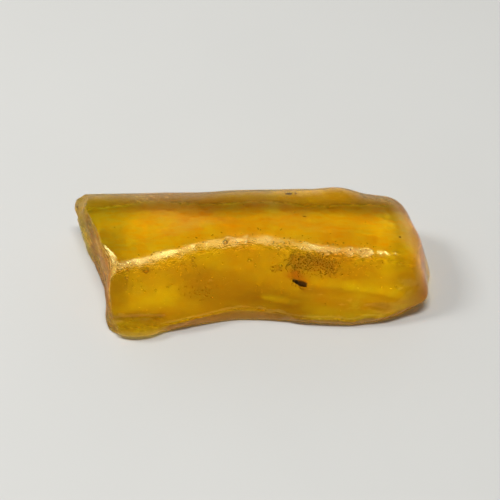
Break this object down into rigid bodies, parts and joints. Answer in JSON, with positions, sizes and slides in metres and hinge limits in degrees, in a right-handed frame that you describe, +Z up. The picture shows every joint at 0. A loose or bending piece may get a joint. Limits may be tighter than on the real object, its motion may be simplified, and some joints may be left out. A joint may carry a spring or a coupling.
{
  "type": "raw copal lump with an insect inclusion",
  "caption": "Long lump of clear golden tree resin with a rounded back, a steep front slope, broken ends and a small insect sealed inside; it lies on a flat underside.",
  "frame": {"origin": "on the surface that the lump rests on, below the middle of its bounding box", "axes": "+X runs along the lump to its rounded end, +Y points to its back, away from the steep front slope, and +Z is up"},
  "size_m": [0.0728, 0.0314, 0.0153],
  "materials": {
    "copal": "clear golden to orange resin, glossy, with a finely crazed and pitted surface",
    "insect": "dark brown to black chitin with a pale sheen on the folded wings"
  },
  "bodies": {
    "root": {"copal_lower_half": "copal", "copal_upper_half": "copal", "insect": "insect"}
  },
  "joints": []
}
